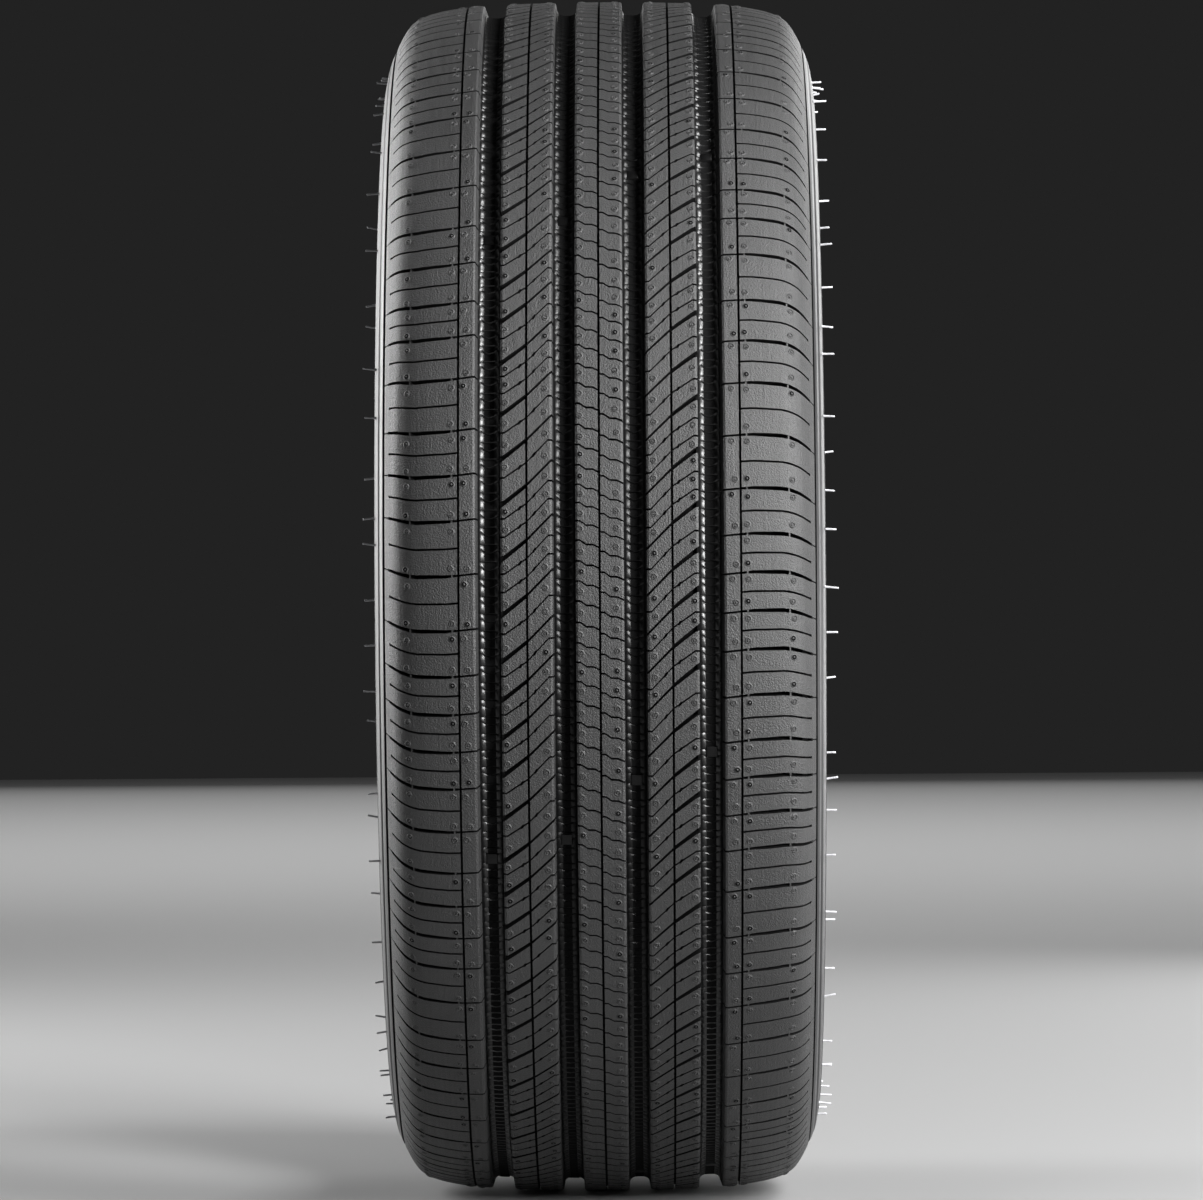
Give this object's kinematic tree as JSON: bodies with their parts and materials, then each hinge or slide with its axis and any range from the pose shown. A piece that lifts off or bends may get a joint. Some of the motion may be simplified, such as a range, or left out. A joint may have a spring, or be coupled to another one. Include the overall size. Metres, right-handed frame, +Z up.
{
  "type": "car tyre",
  "caption": "Passenger car tyre with straight main grooves, slotted shoulders, slanted rib slots, plain sidewalls and open beads that seat on a wheel rim.",
  "frame": {"origin": "centre of the tyre, on its spin axis and in its middle plane", "axes": "+Y along the spin axis, +Z up as it stands on its tread, +X towards the viewer who faces the tread"},
  "size_m": [0.6683, 0.2364, 0.6686],
  "materials": {
    "tyre": "matte moulded rubber with a soft sheen"
  },
  "bodies": {
    "root": {"tyre": "tyre"}
  },
  "joints": []
}
